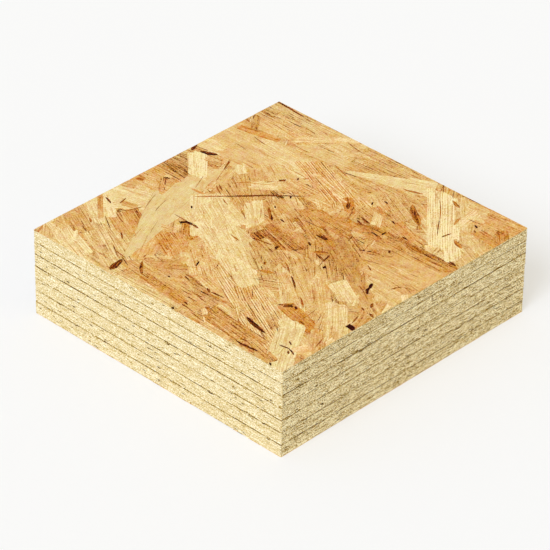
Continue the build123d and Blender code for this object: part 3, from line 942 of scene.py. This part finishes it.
def open_pits(rng, lines, top, marks):
    """Moves the lines between layers to make room. Returns how far they part and how deep the pits are."""
    part, pit = np.zeros_like(lines), np.zeros_like(lines)
    for _ in range(HOLLOWS):
        j, first, wide = rng.randint(1, EDGE_LAYERS - 1), rng.randrange(columns), rng.randint(2, 5)
        opening, depth = rng.uniform(*HOLLOW_OPENS), rng.uniform(*HOLLOW_DEPTH)
        for step in range(wide):
            i = (first + step) % columns
            swell = math.sin(math.pi * (step + 1) / (wide + 1))
            room = 0.4 * min(lines[j + 1, i] - lines[j, i], lines[j, i] - lines[j - 1, i])
            part[j, i] = min(opening * swell, room)
            pit[j, i] = depth * swell
    for way, height, length, tall in marks:
        j = min(max(round((height - ARRIS) / (top - ARRIS) * EDGE_LAYERS), 1), EDGE_LAYERS - 1)
        for i in range(*np.searchsorted(walked[:-1], (way - length / 2, way + length / 2))):
            swell = math.sin(math.pi * (walked[i] - way + length / 2) / length) * rng.uniform(0.6, 1.1)
            part[j, i] = max(tall / 2 * swell, MARK_LEAST)
            lines[j, i] = min(max(height, ARRIS + part[j, i] + MARK_CLEAR), top - part[j, i] - MARK_CLEAR)
            aside = part[j, i] + THINNEST * np.arange(1, EDGE_LAYERS + 1)
            lines[j + 1:, i] = np.maximum(lines[j + 1:, i], lines[j, i] + aside[:EDGE_LAYERS - j])
            lines[:j, i] = np.minimum(lines[:j, i], lines[j, i] - aside[:j][::-1])
            pit[j, i] = MARK_DEPTH * swell
    return part, pit

def sawn_edge(skin, rng, thickness, strips, pressed_top, marks):
    """Adds the edge of one board. Returns the point numbers of its lowest and its highest loop."""
    top = thickness - (SKIN_ROW if pressed_top else ARRIS)
    lines = np.array([ARRIS + (top - ARRIS) * j / EDGE_LAYERS
                      + waver(rng, LAYER_WAVER * (0 < j < EDGE_LAYERS)) for j in range(EDGE_LAYERS + 1)])
    calm = np.where(np.minimum(steps, np.roll(steps, 1)) < 0.6, 0.2, 1.0)  # less is torn round the corners
    inset = np.zeros_like(lines)
    for j in range(1, EDGE_LAYERS):
        length_of, count = cut_lengths(rng, *TORN_LENGTHS)
        torn = np.array([rng.uniform(0, TORN) for _ in range(count)])
        inset[j] = calm * (torn[length_of] + [rng.uniform(0, ROUGH) for _ in range(columns)])
    part, pit = open_pits(rng, lines, top, marks)

    def ring(height, depth):
        """Points all round the board, so high and so far in."""
        return np.column_stack((outline - ways_out * np.reshape(depth, (-1, 1)), height * np.ones(columns)))

    lower = np.array([skin.add_points(ring(lines[j] - part[j], inset[j])) + np.arange(columns)
                      for j in range(EDGE_LAYERS + 1)])
    upper, inner = lower.copy(), lower.copy()
    for j, i in np.argwhere(part > 0):
        x, y = outline[i] - ways_out[i] * inset[j, i]
        px, py = outline[i] - ways_out[i] * (inset[j, i] + pit[j, i])
        upper[j, i] = skin.add_points([(x, y, lines[j, i] + part[j, i])])
        inner[j, i] = skin.add_points([(px, py, lines[j, i])])

    def add_row(below, above, look, grain_and_shading_shows=GRAIN_AND_SHADING_SHOWS):
        """Faces between two loops of points, wherever the loops lie apart."""
        for i in np.flatnonzero((below != above) | np.roll(below != above, -1)):
            far = (i + 1) % columns
            corners, at = [], []
            for point, column in ((below[i], i), (below[far], i + 1), (above[far], i + 1), (above[i], i)):
                if point not in corners:
                    corners.append(int(point))
                    at.append((walked[column], skin.points[point][2]))
            if len(corners) > 2:
                tone, shift_along, shift_across = look[i]
                # by pair of sides: painted light or painted shade added to the tone, and a strength that
                # partly paints the lamp's light and shade on the relief
                shade, shows = SIDE_PAINTED_LIGHT[side_of[i] % 2], grain_and_shading_shows[side_of[i] % 2]
                skin.add_face(corners, SAWN, (EDGE_TONE + shade + shows * (tone - EDGE_TONE), shows, 0.0),
                              [((way + shift_along) * MM, (z + shift_across) * MM) for way, z in at],
                              [flat_edge(side_of[i], way, z, thickness, strips) for way, z in at])

    def looks(lengths, tone, spread):
        """The tone of each step round the board and its place in the pattern, alike over a length."""
        number, count = cut_lengths(rng, *lengths)
        kinds = [(rng.gauss(tone, spread), rng.uniform(0, MAP_SHIFT), rng.uniform(0, MAP_SHIFT))
                 for _ in range(count)]
        return [kinds[n] for n in number]

    for j in range(EDGE_LAYERS):
        add_row(upper[j], lower[j + 1], looks(LAYER_LENGTHS, EDGE_TONE, LAYER_SPREAD))
    # the pits' walls take a dark tone: painted shade inside the real hollows
    hollow = looks(PIT_LENGTHS, *PIT_SHADE_TONE)
    for j in range(1, EDGE_LAYERS):
        add_row(lower[j], inner[j], hollow, PIT_SHOWS)
        add_row(inner[j], upper[j], hollow, PIT_SHOWS)

    slit = np.clip(SLIT + waver(rng, SLIT_WAVER), SLIT_LEAST, SLIT * 2)
    foot = skin.add_points(ring(0.0, slit)) + np.arange(columns)
    heel = skin.add_points(ring(ARRIS_BEND, slit * ARRIS_STEEP)) + np.arange(columns)
    # the arris rows take a dark tone: painted shade where two boards meet in the slit
    dark = looks(JOINT_LENGTHS, *JOINT_SHADE_TONE)
    add_row(foot, heel, dark, JOINT_SHOWS)
    add_row(heel, lower[0], dark, JOINT_SHOWS)
    if pressed_top:
        return foot, lower[-1]
    brow = skin.add_points(ring(thickness - ARRIS_BEND, slit * ARRIS_STEEP)) + np.arange(columns)
    crest = skin.add_points(ring(thickness, slit)) + np.arange(columns)
    dark = looks(JOINT_LENGTHS, *JOINT_SHADE_TONE)
    add_row(lower[-1], brow, dark, JOINT_SHOWS)
    add_row(brow, crest, dark, JOINT_SHOWS)
    return foot, crest

print("pits placed by hand on each side that shows:", len(EDGE_MARKS))

# %% [markdown]
# ## The pressed face
#
# The outlines of all the strands cut the face into small cells, by a constrained triangulation. Each cell
# belongs to the uppermost strand that covers it and lies at that strand's own height, so every visible edge
# of a strand is a real step of a few hundredths of a millimetre, which catches the light. Walls join the
# steps, so that the board stays one closed solid.

# %% Build the pressed face
JOIN = 1e-4  # mm, points nearer than this are one
RIM_WAVER = 0.10  # mm
GAP_LOOK = (0.05, 0.2, 0.0)  # tone, line strength and tint where no strand lies
RIM_LOOK = (0.6, 1.0, 0.0)  # the same for the sawn rim

def covering_cells(layers, rim):
    """Cuts the face along every outline. Returns the points, the cells and each cell's uppermost layer."""
    outlines = [rim, *[layer.outline for layer in layers]]
    points = [Vector(p) for one in outlines for p in one]
    ends = np.cumsum([len(one) for one in outlines])
    rings = [list(range(end - len(one), end)) for one, end in zip(outlines, ends)]
    places, _, cells, sources, _, owners = delaunay_2d_cdt(points, [], rings, 0, JOIN, True)
    kept = [(cell, max(own)) for cell, own in zip(cells, owners) if 0 in own]
    rim_points = [0] * len(rim)
    for number, source in enumerate(sources):
        for given in source:
            if given < len(rim):
                rim_points[given] = number
    return places, kept, rim_points

def drop_hidden(layers, rim):
    """Leaves out the strands that others cover completely, which would only add needless cuts."""
    _, kept, _ = covering_cells(layers, rim)
    shown = {owner for _, owner in kept}
    return [layer for number, layer in enumerate(layers, start=1) if number in shown]

def pressed_face(skin, rng, layers, edge, thickness, square, strips):
    """Adds a face of strands on top of the edge's highest loop."""
    rim = outline - ways_out * np.abs(waver(rng, RIM_WAVER))[:, None]
    layers = drop_hidden(layers, rim)
    places, cells, rim_points = covering_cells(layers, rim)
    order = np.argsort([-layer.sink for layer in layers])
    rank = np.zeros(len(layers) + 1, int)
    rank[order + 1] = np.arange(1, len(layers) + 1)
    drop = np.array([FACE_RIM, *[layers[n].sink for n in order]])
    ranks = len(layers) + 1

    step_of, owner_of = {}, {}
    for cell, owner in cells:
        for a, b in zip(cell, (*cell[1:], cell[0])):
            step_of[a, b] = rank[owner]
            owner_of[a, b] = owner
    onward = {a: b for a, b in step_of if (b, a) not in step_of}
    keys = {v * ranks + int(rank[owner]) for cell, owner in cells for v in cell}
    keys |= {v * ranks for v in onward}
    keys = np.array(sorted(keys))
    at, level = np.divmod(keys, ranks)
    spots = np.array([tuple(p) for p in places])[at]
    first = skin.add_points(np.column_stack((spots, thickness - drop[level])))

    def number(v, step):
        """The skin's number for a point at a step's height."""
        return first + int(np.searchsorted(keys, v * ranks + step))

    shifts = [(rng.uniform(0, MAP_SHIFT), rng.uniform(0, MAP_SHIFT)) for _ in range(len(layers) + 1)]
    corner, side = square

    def add_cell(corners, owner):
        """A face with the look and the grain of the strand that owns it."""
        if owner:
            layer = layers[owner - 1]
            strand, start, along = (layer.tone, layer.streak, layer.tint), layer.start, layer.along
        else:
            strand, start, along = GAP_LOOK, np.zeros(2), heading(0.0)
        grain, flat = [], []
        for c in corners:
            spot = np.array(skin.points[c][:2])
            off = spot - start
            grain.append(((off @ along + shifts[owner][0]) * MM,
                          (off[1] * along[0] - off[0] * along[1] + shifts[owner][1]) * MM))
            flat.append(tuple(corner + side * (spot / FACE_SIDE + 0.5)))
        skin.add_face(corners, PRESSED, strand, grain, flat)

    for cell, owner in cells:
        add_cell([number(v, int(rank[owner])) for v in cell], owner)
    for (a, b), step in step_of.items():
        lower = step_of.get((b, a), 0)
        if step > lower:
            add_cell([*range(number(b, lower), number(b, step) + 1),
                      *range(number(a, step), number(a, lower) - 1, -1)], owner_of[a, b])
    for i in range(columns):
        far = (i + 1) % columns
        chain = [rim_points[i]]
        while chain[-1] != rim_points[far]:
            chain.append(onward[chain[-1]])
        corners = [int(edge[i]), int(edge[far]), *[number(v, 0) for v in reversed(chain)]]
        ways = [walked[i], walked[i + 1]]
        ways += [walked[i] + math.dist(places[v], places[chain[0]]) for v in reversed(chain)]
        at = [(way, skin.points[c][2]) for way, c in zip(ways, corners)]
        skin.add_face(corners, SAWN, RIM_LOOK, [(way * MM, z * MM) for way, z in at],
                      [flat_edge(side_of[i], way, z, thickness, strips) for way, z in at])
    return len(layers), len(cells)

print("strands and rim, mm below the face:", round(DEEPEST - PILE, 2), "to", DEEPEST, "and", FACE_RIM)

# %% [markdown]
# ## Seven boards
#
# The lowest board shows its underside and the topmost its top, and the faces between are pressed together
# out of sight, so those are closed with plain panels. The lowest board is built face up and then turned over.
# No two boards share a seed, so no two edges are alike.

# %% Build the boards
EDGES_ONLY = (0.0, 0.25)  # the flat map of a board with no face in sight: base and height of a strip
EDGES_BELOW = (0.003, 0.031)  # the same beside a face
FACE_SQUARE = (np.array((0.07, 0.135)), 0.86)  # the face's lower left corner and its side
HIDDEN_SPOT = 0.006  # a hidden panel needs hardly any of the map
FOOT_CORNER = np.array((0.001, 0.20))  # lower left corners of the hidden panels on the map
CREST_CORNER = np.array((0.001, 0.40))
HIDDEN_LOOK = (0.62, 0.5, 0.0)  # tone, line strength and tint
UNDERSIDE_SEED = 11
BOARD_SEED = 100  # the boards' own seeds count on from it

def close_panel(skin, loop, corner):
    """Closes a hidden face with one flat panel."""
    spots = [np.array(skin.points[n][:2]) for n in loop]
    skin.add_face([int(n) for n in loop], PRESSED, HIDDEN_LOOK, [tuple(s * MM) for s in spots],
                  [tuple(corner + HIDDEN_SPOT * (s / FACE_SIDE + 0.5)) for s in spots])

def make_board(number, node):
    """One board as a closed mesh in the place of its panel."""
    rng = random.Random(BOARD_SEED + number)
    box_low, box_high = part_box(node)
    middle, thickness = (box_low + box_high) / 2, (box_high.z - box_low.z) / MM
    shows_face = number in (1, len(panels))
    strips = EDGES_BELOW if shows_face else EDGES_ONLY
    skin = Skin()
    foot, crest = sawn_edge(skin, rng, thickness, strips, shows_face, marks_of(number, thickness))
    close_panel(skin, foot[::-1], FOOT_CORNER)
    if shows_face:
        layers = lay_face(UNDERSIDE_SEED) if number == 1 else top_layers
        print("strands that show, and cells:",
              pressed_face(skin, rng, layers, crest, thickness, FACE_SQUARE, strips))
    else:
        close_panel(skin, crest, CREST_CORNER)
    points = np.array(skin.points)
    if number == 1:
        points = points * (-1, 1, -1) + (0, 0, thickness)
    points = points * MM + (middle.x, middle.y, box_low.z)

    mesh = bpy.data.meshes.new(f"strand_board_{number}")
    mesh.from_pydata(points.tolist(), [], skin.faces)
    for finish in finishes:
        mesh.materials.append(finish)
    mesh.polygons.foreach_set("material_index", skin.finish)
    for name, places in (("grain", skin.grain), ("OFBake", skin.flat)):
        mesh.uv_layers.new(name=name).data.foreach_set("uv", np.array(places, np.float32).ravel())
    mesh.attributes.new("strand", "FLOAT_VECTOR", "CORNER").data.foreach_set(
        "vector", np.array(skin.strand, np.float32).ravel())
    mesh.validate()
    mesh.update()
    board = bpy.data.objects.new(mesh.name, mesh)
    bpy.context.collection.objects.link(board)
    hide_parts(node)
    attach(board, "root")
    mesh.calc_loop_triangles()
    print(board.name, "triangles:", len(mesh.loop_triangles))
    return board

boards = [make_board(number, node) for number, node in enumerate(panels, start=1)]

# %% [markdown]
# ## Finish
#
# The dressed stack has to fill the same box as the solids it stands for.

# %% Finish
bpy.context.view_layer.update()
